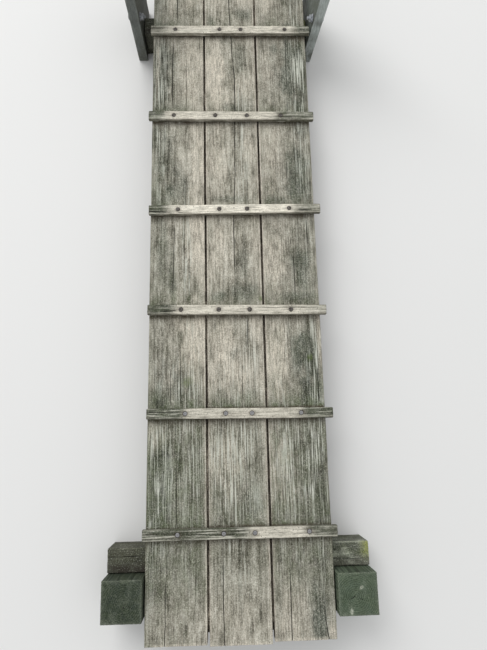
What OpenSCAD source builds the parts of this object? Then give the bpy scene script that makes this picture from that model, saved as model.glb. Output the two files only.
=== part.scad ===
// Wooden footbridge: three planks on two sills, six cross battens screwed on top,
// two short posts at the near end and two upright side boards at the far end.
// Origin on the ground under the middle of the bridge, +Y towards the far end, millimetres.

/* [Deck planks] */
// Width of one deck plank
plank_w = 150; // [120:1:190]
// Thickness of the deck planks
plank_t = 38; // [30:1:45]
// Length of the middle deck plank
plank_l = 1924; // [1850:1:2200]
// Open seam between two planks
seam_w = 4; // [2:0.5:8]
// Radius of the worn long edges of the planks
plank_edge_r = 4; // [1:0.5:8]
// Width of the bevel on the sawn ends of the planks and battens
end_bevel = 2; // [0.5:0.5:4]
// How much shorter the left plank is at each end
left_short = 3; // [0:0.5:8]
// How much shorter the right plank is at each end
right_short = 5; // [0:0.5:8]

/* [Cross battens] */
// Width of a batten along the bridge
batten_w = 29; // [24:0.5:44]
// Height of a batten above the planks
batten_h = 16; // [12:0.5:24]
// How far a batten reaches past both edges of the deck together
batten_over = 20; // [12:1:30]
// Radius of the worn top edges of the battens
batten_edge_r = 4; // [1:0.5:7]
// Distance from each end of the deck to the middle of the first batten
batten_start = 244.5; // [200:0.5:260]

/* [Screws] */
// Diameter of a screw head
head_d = 10; // [7:0.5:12]
// Depth of the conical part of a screw head
head_h = 3; // [2:0.5:4]
// Diameter of a screw shank
shank_d = 4.5; // [3:0.5:6]
// How deep a screw reaches into a plank
screw_bite = 26; // [15:1:34]
// How far the screw heads are sunk below the batten top
head_sink = 1; // [0:0.25:2]
// Distance of the inner screws from the middle of the deck
inner_screw_x = 38; // [25:1:60]
// Distance of the outer screws from the middle of the deck
outer_screw_x = 154; // [120:1:180]
// Clearance all round a screw in its hole
screw_gap = 0.2; // [0.1:0.05:0.4]

/* [Sills] */
// Width of a sill along the bridge
sill_w = 60; // [45:1:90]
// Height of a sill
sill_h = 89; // [70:1:120]
// Distance from the end of the deck to the outer face of its sill
sill_inset = 158; // [130:1:200]
// Radius of the sill edges
sill_edge_r = 3; // [1:0.5:6]

/* [Near posts] */
// Side of the square near posts
post_w = 97; // [75:1:110]
// Height of the near posts above the deck
post_rise = 24; // [10:1:80]
// Clearance between the deck and a near post
post_gap = 2; // [1:0.5:8]
// Width of the bevel round a post top
post_bevel = 3; // [1:0.5:8]
// Radius of the upright edges of a near post
post_edge_r = 3; // [1:0.5:6]

/* [Side boards] */
// Width of a side board along the bridge
board_w = 184; // [140:1:190]
// Thickness of a side board
board_t = 30; // [25:1:45]
// Height of a side board above the deck
board_rise = 300; // [180:5:600]
// Distance from the far end of the deck to the far edge of a side board
board_inset = 60; // [20:1:80]
// Space between the deck and the left side board, at deck height
left_space = 34; // [24:1:60]
// Space between the deck and the right side board, at deck height
right_space = 16; // [16:1:60]
// Clearance between the far sill and the side boards
sill_gap = 0.3; // [0.1:0.1:1]
// Radius of the side board edges
board_edge_r = 3; // [1:0.5:6]
// Outward lean of the right side board in degrees
right_lean = 4; // [0:0.5:7]
// Outward lean of the left side board in degrees
left_lean = 1; // [0:0.5:7]

/* [Side bolts] */
// Diameter of a side bolt
bolt_d = 10; // [6:0.5:12]
// Diameter of the domed head of a side bolt
bolt_head_d = 20; // [16:0.5:26]
// Distance across the corners of a nut
hex_corners = 19; // [15:0.5:22]
// Height of the domed head of a side bolt
bolt_head_t = 4.5; // [3:0.5:7]
// Thickness of a nut
nut_t = 8; // [5:0.5:10]
// Diameter of a washer
washer_d = 24; // [22.5:0.5:30]
// Thickness of a washer
washer_t = 2.5; // [1.5:0.5:4]
// Height of a bolt above the deck
bolt_rise = 38; // [30:1:140]
// Distance from the near edge of a side board to its bolt
bolt_edge = 18; // [16:1:60]
// Length of bolt that shows past its nut
bolt_tail = 6; // [1:0.5:10]
// Clearance all round a bolt in its hole
bolt_gap = 0.3; // [0.2:0.05:0.5]

/* [Hidden] */
$fn = 48;
// small overlap that joins the solids of one piece
tiny = 0.01;
// how far a cutting solid runs past what it cuts
cut_over = 1;
// shift of each batten to the right and along the bridge, and its turn in degrees, from the near end
batten_shift = [2.5, 8, 6.5, 5.5, 1, 3];
batten_along = [7.5, 8.5, -6.5, -6.5, -3.5, -1.5];
batten_turn = [-0.15, -0.6, -0.6, 0.4, -0.1, 0.45];
// how far each screw was driven off its place, from left to right on each batten
screw_off = [
    [4, 0, 0, 17],
    [22, 9, 0, 10],
    [11, -5, 1, -5],
    [2, 0, 1, 2],
    [-11, -8, 7, -11],
    [-8, 8, -5, 12]
];
screw_place = [-outer_screw_x, -inner_screw_x, inner_screw_x, outer_screw_x];
batten_count = len(batten_turn);
last_batten = batten_count - 1;
batten_pitch = (plank_l - 2 * batten_start) / last_batten;
deck_w = 3 * plank_w + 2 * seam_w;
deck_top = sill_h + plank_t;
deck_end = plank_l / 2;
plank_step = plank_w + seam_w;
batten_l = deck_w + batten_over;
sill_y = deck_end - sill_inset - sill_w / 2;
post_x = deck_w / 2 + post_gap + post_w / 2;
post_y = -deck_end + sill_inset - post_w / 2;
near_sill_l = deck_w + 2 * (post_gap + post_w);
board_y = deck_end - board_inset - board_w / 2;
board_h = deck_top + board_rise;
bolt_y = -board_w / 2 + bolt_edge;

// where a batten lies: middle of the bridge is between the third and fourth
function batten_y(i) = (i - last_batten / 2) * batten_pitch + batten_along[i];

// rectangle with rounded corners, centred
module rounded_rect(w, h, r) {
    square([w - 2 * r, h], center = true);
    square([w, h - 2 * r], center = true);
    for (sx = [-1, 1])
        for (sy = [-1, 1])
            translate([sx * (w / 2 - r), sy * (h / 2 - r)])
                circle(r);
}

// timber with rounded long edges, lying along Y, centred on its own middle
module timber_y(w, l, h, r) {
    translate([0, l / 2, 0])
        rotate([90, 0, 0])
            linear_extrude(l)
                rounded_rect(w, h, r);
}

// timber with rounded long edges, lying along X, centred on its own middle
module timber_x(l, w, h, r) {
    rotate([0, 0, 90])
        timber_y(w, l, h, r);
}

// places a child in the frame of batten i, with z = 0 on the deck
module on_batten(i) {
    translate([0, batten_y(i), deck_top])
        rotate([0, 0, batten_turn[i]])
            children();
}

// a screw hole from the sunk head down into the plank, for batten i
module screw_holes(i) {
    on_batten(i)
        for (k = [0:3])
            translate([screw_place[k] + screw_off[i][k], 0, 0])
                screw_space(screw_gap);
}

// the solid of one screw, or with a gap the space that it needs
module screw_space(gap) {
    top = batten_h - head_sink;
    translate([0, 0, -screw_bite - gap])
        cylinder(d = shank_d + 2 * gap, h = top + screw_bite + gap - tiny);
    translate([0, 0, top - head_h])
        cylinder(d1 = shank_d + 2 * gap, d2 = head_d + 2 * gap, h = head_h);
    if (gap > 0)
        translate([0, 0, top - tiny])
            cylinder(d = head_d + 2 * gap, h = head_sink + cut_over);
}

// block of length l along Y with bevelled upper and lower end edges, to trim a timber
module end_trim(w, l, h) {
    rotate([90, 0, 90])
        linear_extrude(w + 2 * cut_over, center = true)
            polygon([
                [-l / 2, -h / 2 + end_bevel], [-l / 2 + end_bevel, -h / 2],
                [l / 2 - end_bevel, -h / 2], [l / 2, -h / 2 + end_bevel],
                [l / 2, h / 2 - end_bevel], [l / 2 - end_bevel, h / 2],
                [-l / 2 + end_bevel, h / 2], [-l / 2, h / 2 - end_bevel]
            ]);
}

// plank number k, from -1 on the left to 1 on the right
module plank(k, short) {
    l = plank_l - 2 * short;
    color("#8b887a")
        difference() {
            translate([k * plank_step, 0, sill_h + plank_t / 2])
                intersection() {
                    timber_y(plank_w, l, plank_t, plank_edge_r);
                    end_trim(plank_w, l, plank_t);
                }
            for (i = [0:last_batten])
                screw_holes(i);
        }
}

module left_plank() {
    plank(-1, left_short);
}

module middle_plank() {
    plank(0, 0);
}

module right_plank() {
    plank(1, right_short);
}

// batten with a flat underside and rounded top edges
module batten(i) {
    color("#9d9684")
        difference() {
            on_batten(i)
                translate([batten_shift[i], 0, 0])
                    batten_blank();
            screw_holes(i);
        }
}

module batten_blank() {
    intersection() {
        translate([-batten_l / 2, 0, 0])
            rotate([90, 0, 90])
                linear_extrude(batten_l)
                    batten_profile();
        rotate([0, 0, 90])
            translate([0, 0, batten_h / 2])
                end_trim(batten_w, batten_l, batten_h);
    }
}

module batten_profile() {
    translate([-batten_w / 2, 0])
        square([batten_w, batten_h - batten_edge_r]);
    translate([-batten_w / 2 + batten_edge_r, 0])
        square([batten_w - 2 * batten_edge_r, batten_h]);
    for (s = [-1, 1])
        translate([s * (batten_w / 2 - batten_edge_r), batten_h - batten_edge_r])
            circle(batten_edge_r);
}

// the four screws of one batten
module batten_screws(i) {
    color("#6b665e")
        on_batten(i)
            for (k = [0:3])
                translate([screw_place[k] + screw_off[i][k], 0, 0])
                    screw_space(0);
}

module near_sill() {
    color("#4d5a45")
        translate([0, -sill_y, sill_h / 2])
            timber_x(near_sill_l, sill_w, sill_h, sill_edge_r);
}

// its ends are sawn to the lean of the side boards
module far_sill() {
    color("#4d5a45")
        difference() {
            translate([0, sill_y, sill_h / 2])
                timber_x(deck_w + 4 * max(left_space, right_space), sill_w, sill_h, sill_edge_r);
            board_side(-1, left_space, left_lean)
                outer_space();
            board_side(1, right_space, right_lean)
                outer_space();
        }
}

// everything outside the inner face of a side board
module outer_space() {
    translate([-sill_gap, -board_w, -2 * deck_top])
        cube([2 * deck_w, 2 * board_w, 4 * deck_top]);
}

// square post with a bevel round its top
module near_post(side) {
    color("#465742")
        translate([side * post_x, post_y, 0])
            post_blank();
}

module post_blank() {
    intersection() {
        linear_extrude(deck_top + post_rise)
            rounded_rect(post_w, post_w, post_edge_r);
        for (turn = [0, 90])
            rotate([0, 0, turn])
                post_gable();
    }
}

// outline of a bevelled post, as deep as the post is wide
module post_gable() {
    top = deck_top + post_rise;
    half = post_w / 2;
    rotate([90, 0, 0])
        linear_extrude(post_w + 2 * cut_over, center = true)
            polygon([
                [-half, 0], [half, 0], [half, top - post_bevel],
                [half - post_bevel, top], [-half + post_bevel, top], [-half, top - post_bevel]
            ]);
}

module near_left_post() {
    near_post(-1);
}

module near_right_post() {
    near_post(1);
}

// frame of a side board: x = 0 is its inner face, z = 0 the height of the deck
module board_side(side, space, lean) {
    translate([side * (deck_w / 2 + space), board_y, deck_top])
        mirror([side < 0 ? 1 : 0, 0, 0])
            rotate([0, lean, 0])
                children();
}

// side board standing on the ground, its foot sawn level
module side_board(side, space, lean) {
    color("#5c6660")
        difference() {
            board_side(side, space, lean)
                board_blank();
            translate([-deck_w, 0, -deck_top])
                cube([2 * deck_w, plank_l, deck_top]);
        }
}

module board_blank() {
    difference() {
        translate([board_t / 2, 0, -deck_top - board_t])
            linear_extrude(board_h + board_t)
                rounded_rect(board_t, board_w, board_edge_r);
        translate([-board_t, bolt_y, bolt_rise])
            rotate([0, 90, 0])
                cylinder(d = bolt_d + 2 * bolt_gap, h = 3 * board_t);
    }
}

module left_side_board() {
    side_board(-1, left_space, left_lean);
}

module right_side_board() {
    side_board(1, right_space, right_lean);
}

// domed head on the outer face, shank through the board
module side_bolt(side, space, lean) {
    shank_l = board_t + washer_t + nut_t + bolt_tail;
    color("#8c8f90")
        board_side(side, space, lean)
            translate([board_t, bolt_y, bolt_rise])
                rotate([0, 90, 0]) {
                    bolt_dome();
                    translate([0, 0, -shank_l])
                        cylinder(d = bolt_d, h = shank_l + tiny);
                }
}

// cap of a sphere, flat side at z = 0
module bolt_dome() {
    dome_r = (bolt_head_d * bolt_head_d / 4 + bolt_head_t * bolt_head_t) / (2 * bolt_head_t);
    intersection() {
        translate([0, 0, bolt_head_t - dome_r])
            sphere(r = dome_r);
        cylinder(d = 2 * bolt_head_d, h = 2 * bolt_head_t);
    }
}

module left_side_bolt() {
    side_bolt(-1, left_space, left_lean);
}

module right_side_bolt() {
    side_bolt(1, right_space, right_lean);
}

// washer and nut on the inner face
module bolt_nut(side, space, lean) {
    color("#8c8f90")
        board_side(side, space, lean)
            translate([0, bolt_y, bolt_rise])
                rotate([0, -90, 0])
                    difference() {
                        union() {
                            cylinder(d = washer_d, h = washer_t);
                            translate([0, 0, washer_t - tiny])
                                cylinder(d = hex_corners, h = nut_t, $fn = 6);
                        }
                        translate([0, 0, -nut_t])
                            cylinder(d = bolt_d + 2 * bolt_gap, h = 3 * nut_t);
                    }
}

module left_bolt_nut() {
    bolt_nut(-1, left_space, left_lean);
}

module right_bolt_nut() {
    bolt_nut(1, right_space, right_lean);
}

left_plank();
middle_plank();
right_plank();
batten(0);  // batten_1
batten(1);  // batten_2
batten(2);  // batten_3
batten(3);  // batten_4
batten(4);  // batten_5
batten(5);  // batten_6
batten_screws(0);  // batten_screws_1
batten_screws(1);  // batten_screws_2
batten_screws(2);  // batten_screws_3
batten_screws(3);  // batten_screws_4
batten_screws(4);  // batten_screws_5
batten_screws(5);  // batten_screws_6
near_sill();
far_sill();
near_left_post();
near_right_post();
left_side_board();
right_side_board();
left_side_bolt();
right_side_bolt();
left_bolt_nut();
right_bolt_nut();
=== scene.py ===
import math
from functools import partial
import bmesh
import bpy
import numpy as np
from mathutils import Matrix, Vector


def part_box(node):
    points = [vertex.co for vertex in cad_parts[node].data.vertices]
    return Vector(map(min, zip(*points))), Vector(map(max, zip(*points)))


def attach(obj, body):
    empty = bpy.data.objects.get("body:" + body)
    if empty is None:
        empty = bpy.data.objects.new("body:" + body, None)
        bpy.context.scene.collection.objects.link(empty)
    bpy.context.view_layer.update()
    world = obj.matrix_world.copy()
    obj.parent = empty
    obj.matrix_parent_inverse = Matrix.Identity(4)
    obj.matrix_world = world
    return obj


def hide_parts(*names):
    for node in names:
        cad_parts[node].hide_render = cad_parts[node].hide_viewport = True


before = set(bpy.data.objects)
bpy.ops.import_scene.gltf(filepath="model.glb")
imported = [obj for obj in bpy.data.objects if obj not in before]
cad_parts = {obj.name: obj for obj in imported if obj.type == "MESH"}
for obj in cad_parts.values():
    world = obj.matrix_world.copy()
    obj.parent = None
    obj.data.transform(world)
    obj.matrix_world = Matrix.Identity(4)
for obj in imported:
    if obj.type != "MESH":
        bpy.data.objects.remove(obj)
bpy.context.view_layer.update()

# Old wooden footbridge: weathered planks, battens, green sills and posts, side boards.
# Metres, +Y away from the viewer. Every timber is cut in its own frame first
# (X across, Y along the grain, Z through the thickness) and then laid in place.

scene = bpy.context.scene
body = "root"
mm = 0.001


# noise used to carve the timbers

def latticeValue(ix, iy, iz, seed):
    # the same number from 0 to 1 each time for one corner of the lattice
    n = (ix * 374761393 + iy * 668265263 + iz * 1274126177 + seed * 974634777) & 0xFFFFFFFF
    n = ((n ^ (n >> 13)) * 1274126177) & 0xFFFFFFFF
    return ((n ^ (n >> 16)) & 0xFFFF) / 65535.0


def smoothNoise(x, y, z, seed):
    x, y, z = np.broadcast_arrays(x, y, z)
    ix, iy, iz = (np.floor(v).astype(np.int64) for v in (x, y, z))
    fx, fy, fz = x - ix, y - iy, z - iz
    ux, uy, uz = (f * f * (3 - 2 * f) for f in (fx, fy, fz))
    total = 0
    for dx in (0, 1):
        for dy in (0, 1):
            for dz in (0, 1):
                weight = (ux if dx else 1 - ux) * (uy if dy else 1 - uy) * (uz if dz else 1 - uz)
                total = total + weight * latticeValue(ix + dx, iy + dy, iz + dz, seed)
    return total * 2 - 1


def layeredNoise(x, y, z, seed, layers=3):
    total = 0
    for k in range(layers):
        total = total + smoothNoise(x * 2 ** k, y * 2 ** k, z * 2 ** k, seed + k) / 2 ** k
    return total / 1.8


def noiseAt(p, scale, seed, layers=3):
    return layeredNoise(p[:, 0] * scale[0], p[:, 1] * scale[1], p[:, 2] * scale[2], seed, layers)


def ease(low, high, value):
    t = np.clip((value - low) / (high - low), 0, 1)
    return t * t * (3 - 2 * t)


# blocks of timber

carving = {
    "crackTicks": (-2.4, -1.2, -0.5, 0, 0.5, 1.2, 2.4),  # extra grid lines beside a crack, millimetres
    "arrisReach": 3.5 * mm,                              # how far in from an arris the wear goes
    "fibreScale": (330, 11, 330),
    "broadScale": (22, 5, 22),
    "chipScale": (12, 28, 40),
    "splinterScale": (70, 90, 70),
}


def edgeTicks(half, radius, step, fine=()):
    # even steps between the arrises, three ticks on each rounding, extra ones at cracks and screws
    inner = half - radius
    even = np.linspace(-inner, inner, max(2, round(2 * inner / step)) + 1)
    ticks = [t for t in even if all(abs(t - f) > 0.6 * step for f in fine)]
    for share in (0.4, 0.75, 1.0):
        ticks += [inner + radius * share, -inner - radius * share]
    return np.array(sorted(set(ticks) | set(fine)))


def blockFaces(nx, ny, nz):
    # grid points on the skin of a block, and the quads between them
    sides = []

    def grid(a, b):
        p, q = np.meshgrid(np.arange(a - 1), np.arange(b - 1), indexing="ij")
        return p.ravel(), q.ravel()

    def addSide(order, *corners):
        sides.append(np.stack([(i * ny + j) * nz + k for i, j, k in corners], 1)[:, ::order])

    j, k = grid(ny, nz)
    for i, order in ((0, 1), (nx - 1, -1)):
        addSide(order, (i, j, k), (i, j, k + 1), (i, j + 1, k + 1), (i, j + 1, k))
    i, k = grid(nx, nz)
    for j, order in ((0, 1), (ny - 1, -1)):
        addSide(order, (i, j, k), (i + 1, j, k), (i + 1, j, k + 1), (i, j, k + 1))
    i, j = grid(nx, ny)
    for k, order in ((0, 1), (nz - 1, -1)):
        addSide(order, (i, j, k), (i, j + 1, k), (i + 1, j + 1, k), (i + 1, j, k))
    keys, faces = np.unique(np.concatenate(sides), return_inverse=True)
    return keys, faces.reshape(-1, 4)


def crackCentre(line, y):
    drift = smoothNoise(y * 14, line["seed"] * 7.3, 0.5, 40 + line["seed"])
    fine = smoothNoise(y * 60, line["seed"] * 3.1, 0.5, 60 + line["seed"])
    return np.interp(y, line["ys"], line["xs"]) + drift * line["wander"] + fine * line["wander"] * 0.35


def crackDepth(line, x, y):
    t = (y - line["from"]) / (line["to"] - line["from"])
    fade = ease(0, line["fadeIn"], t) * ease(0, line["fadeOut"], 1 - t) * (t > 0) * (t < 1)
    ragged = 0.72 + 0.45 * layeredNoise(y * 16, line["seed"], 0.5, 80 + line["seed"], 2)
    halfWidth = 0.5 * line["width"] * np.sqrt(np.maximum(fade, 1e-6)) * ragged
    inside = np.clip(1 - np.abs(x - crackCentre(line, y)) / halfWidth, 0, 1)
    return line["depth"] * fade * np.sqrt(inside) * (fade > 0)


def crack(path, width, depth, wander=1.0, seed=1, fadeIn=0.15, fadeOut=0.15):
    # path: points across and along the timber in millimetres, in the order of their distance along
    xs, ys = (np.array(values) * mm for values in zip(*path))
    return {"x": xs.mean(), "xs": xs, "ys": ys, "from": ys[0], "to": ys[-1], "width": width * mm,
            "depth": depth * mm, "wander": wander * mm, "seed": seed, "fadeIn": fadeIn, "fadeOut": fadeOut}


def stains(x, y, spots, ragged):
    # soft blots: middle, half widths and strength, millimetres
    total = 0
    for cx, cy, rx, ry, strength in spots:
        away = np.hypot((x - cx * mm) / (rx * mm), (y - cy * mm) / (ry * mm)) + 0.7 * ragged
        total = total + strength * ease(1.3, 0.3, away)
    return total


def growthRings(p, rings):
    # distance from a wandering pith, in rings: gives straight grain, arches and end grain at once
    along = p[:, 1]
    bend = along * rings["swayRate"]
    pithX = rings["pithX"] + rings["sway"] * smoothNoise(bend, 0.3, 0.7, rings["seed"])
    pithZ = rings["pithZ"] + rings["sway"] * smoothNoise(bend, 5.3, 0.2, rings["seed"] + 1)
    radius = np.hypot(p[:, 0] - pithX, p[:, 2] - pithZ)
    for knot in rings["knots"]:
        away = np.hypot((p[:, 0] - knot[0]) / knot[2], (p[:, 1] - knot[1]) / (knot[2] * 2.6))
        radius = radius + 2.2 * knot[2] * np.exp(-away ** 2)
    radius = radius + 0.0012 * smoothNoise(p[:, 0] * 60, along * 6, p[:, 2] * 60, rings["seed"] + 2)
    phase = (radius / rings["spacing"]) % 1.0
    return ease(0.45, 0.88, phase) * (1 - ease(0.9, 1.0, phase))


def carveTimber(name, look, place, material, nodes, dress):
    half = np.array(look["size"]) / 2
    radius = look["edge"]
    seed = look["seed"]
    fineX = [c["x"] + tick * mm for c in look["cracks"] for tick in carving["crackTicks"]]
    fine = (fineX, look.get("fineY", ()), ())
    ticks = [edgeTicks(half[axis], radius, look["steps"][axis], fine[axis]) for axis in range(3)]
    nx, ny, nz = (len(t) for t in ticks)
    keys, faces = blockFaces(nx, ny, nz)
    grid = np.stack([ticks[0][keys // (ny * nz)], ticks[1][(keys // nz) % ny], ticks[2][keys % nz]], 1)
    for c in look["cracks"]:
        # the columns beside a crack follow its wandering line
        reach = np.clip(1 - ((grid[:, 0] - c["x"]) / look["crackReach"]) ** 2, 0, 1) ** 2
        grid[:, 0] += (crackCentre(c, grid[:, 1]) - c["x"]) * reach
    core = np.clip(grid, -(half - radius), half - radius)
    away = grid - core
    normal = away / np.linalg.norm(away, axis=1)[:, None]
    p = core + normal * radius
    late = growthRings(p, look["rings"])
    fibre = noiseAt(p, carving["fibreScale"], seed + 3, 2)
    broad = noiseAt(p, carving["broadScale"], seed + 5)
    chips = ease(0.25, 0.8, noiseAt(p, carving["chipScale"], seed + 9, 2))
    splinters = ease(0.1, 0.7, noiseAt(p, carving["splinterScale"], seed + 11, 2))
    endFace = ease(0.6, 0.9, np.abs(normal[:, 1]))
    inside = half - np.abs(p)
    edges = np.sort(inside, axis=1)[:, 1]  # distance from the nearest arris
    onEdge = np.exp(-edges / carving["arrisReach"])
    sink = look["relief"] * (0.55 * (1 - late) + 0.45 * (0.5 - 0.5 * fibre)) * (1 - 0.4 * endFace)
    sink += look["wear"] * (0.25 * (broad + 1) + onEdge * (0.25 + 0.5 * chips + 0.35 * splinters))
    p = p - normal * sink[:, None]
    # open cracks, screw seats and the hollow of a cupped board, from above
    top = half[2] - look.get("cup", 0) * (1 - (grid[:, 0] / half[0]) ** 2) * (inside[:, 0] > 0)
    split = np.zeros(len(p))
    for c in look["cracks"]:
        depth = crackDepth(c, grid[:, 0], grid[:, 1])
        split = np.maximum(split, depth / c["depth"])
        top = top - depth
    for hole in look.get("holes", ()):
        away = np.hypot(p[:, 0] - hole["x"], p[:, 1] - hole["y"])
        drop = ease(hole["outer"], hole["inner"], away) * hole["depth"]
        top = top - drop
        split = np.maximum(split, 0.75 * (drop > 0.3 * hole["depth"]) * (away < hole["outer"]))
    upper = normal[:, 2] > 0.5
    p[:, 2] = np.where(upper, np.minimum(p[:, 2], top - sink), np.minimum(p[:, 2], np.maximum(top, 0)))
    for check in look.get("endChecks", ()):
        # radial drying splits in the end grain
        cos, sin = math.cos(check["angle"]), math.sin(check["angle"])
        offset = p[:, [0, 2]] - np.array(check["from"])
        side = np.abs(offset @ np.array([-sin, cos]))
        run = offset @ np.array([cos, sin])
        fade = ease(0, 3 * mm, run) * ease(0, 0.5, 1 - run / check["length"])
        cut = np.clip(1 - side / (check["width"] * 0.5 * np.maximum(fade, 0.01)), 0, 1) * fade * endFace
        p[:, 1] -= np.sign(normal[:, 1]) * cut * check["depth"]
        split = np.maximum(split, cut)
    marks = {"grain": late, "split": split}
    marks.update(dress(p, normal, {"onEdge": onEdge, "broad": broad, "end": endFace, "half": half}))
    world = p @ np.array(place.to_3x3()).T + np.array(place.translation)
    piece = meshPiece(name, world, faces, material[0])
    for mark, values in marks.items():
        layer = piece.data.attributes.new(mark, "FLOAT", "POINT")
        layer.data.foreach_set("value", np.broadcast_to(np.clip(values, 0, 1), len(p)).astype(np.float32))
    finishPiece(piece, nodes)
    print("timber", name, len(piece.data.polygons), "faces")
    return piece


def placed(name, data):
    thing = bpy.data.objects.new(name, data)
    scene.collection.objects.link(thing)
    return thing


def meshPiece(name, points, faces, material):
    mesh = bpy.data.meshes.new(name)
    mesh.vertices.add(len(points))
    mesh.vertices.foreach_set("co", np.asarray(points, dtype=np.float32).ravel())
    count = len(faces) * 4
    mesh.loops.add(count)
    mesh.loops.foreach_set("vertex_index", np.asarray(faces, dtype=np.int32).ravel())
    mesh.polygons.add(len(faces))
    mesh.polygons.foreach_set("loop_start", np.arange(0, count, 4, dtype=np.int32))
    mesh.polygons.foreach_set("loop_total", np.full(len(faces), 4, dtype=np.int32))
    mesh.update(calc_edges=True)
    mesh.validate()
    mesh.shade_smooth()
    mesh.materials.append(material)
    return placed(name, mesh)


def finishPiece(piece, nodes):
    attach(piece, body)
    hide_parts(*nodes)


def boxOf(node):
    # middle and size of a solid
    low, high = (Vector(corner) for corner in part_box(node))
    return (low + high) / 2, high - low


# materials

def newMaterial(name):
    material = bpy.data.materials.new(name)
    material.use_nodes = True
    return material, material.node_tree, material.node_tree.nodes["Principled BSDF"]


def feed(tree, socket, value):
    # another node's output is linked, a number or a colour is set on the socket itself
    if isinstance(value, bpy.types.NodeSocket):
        tree.links.new(value, socket)
    elif socket.type == "RGBA":
        socket.default_value = (*value, 1)
    else:
        socket.default_value = value


def feedAll(tree, node, values):
    for key, value in values.items():
        feed(tree, node.inputs[key], value)


def addNode(tree, kind, **settings):
    node = tree.nodes.new(kind)
    for key, value in settings.items():
        if key in node.inputs:
            feed(tree, node.inputs[key], value)
        else:
            setattr(node, key, value)
    return node


def mathNode(tree, operation, *values, clamp=False):
    node = addNode(tree, "ShaderNodeMath", operation=operation, use_clamp=clamp)
    feedAll(tree, node, dict(enumerate(values)))
    return node.outputs[0]


def mixColour(tree, factor, a, b, blend="MIX"):
    node = addNode(tree, "ShaderNodeMix", data_type="RGBA", blend_type=blend)
    feedAll(tree, node, {0: factor, 6: a, 7: b})
    return node.outputs[2]


def stretchedNoise(tree, vector, scale, detail=3, roughness=0.6, shift=(0, 0, 0)):
    mapping = addNode(tree, "ShaderNodeMapping", Vector=vector, Scale=scale, Location=shift)
    noise = addNode(tree, "ShaderNodeTexNoise", Vector=mapping.outputs[0], Scale=1.0, Detail=detail,
                    Roughness=roughness)
    return noise.outputs["Fac"]


def rampNode(tree, factor, stops):
    node = addNode(tree, "ShaderNodeValToRGB", Fac=factor)
    elements = node.color_ramp.elements
    while len(elements) < len(stops):
        elements.new(0.5)
    for element, (place, colour) in zip(elements, stops):
        element.position = place
        element.color = (*colour, 1)
    return node.outputs[0]


def rangeNode(tree, value, low, high, toLow=0.0, toHigh=1.0):
    node = addNode(tree, "ShaderNodeMapRange", clamp=True)
    feedAll(tree, node, dict(enumerate((value, low, high, toLow, toHigh))))
    return node.outputs[0]


def markNode(tree, mark):
    return addNode(tree, "ShaderNodeAttribute", attribute_name=mark).outputs["Fac"]


def sumNode(tree, start, *terms):
    # start plus each source times its weight
    total = start
    for source, weight in terms:
        total = mathNode(tree, "MULTIPLY_ADD", source, weight, total)
    return total


# the noises that every timber is coloured with: scales, detail, roughness, shift
woodNoise = {
    "fibre": ((330, 34, 330), 5, 0.7),
    "streak": ((110, 3.5, 110), 3, 0.55, (3, 1, 2)),
    "patch": ((30, 19, 30), 6, 0.68, (7, 5, 1)),
    "speck": ((420, 330, 420), 2, 0.6, (1, 9, 4)),
    "growth": ((55, 30, 55), 5, 0.7, (9, 2, 6)),
    "lines": ((390, 9, 390), 2, 0.5, (2, 7, 5)),
}


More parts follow.
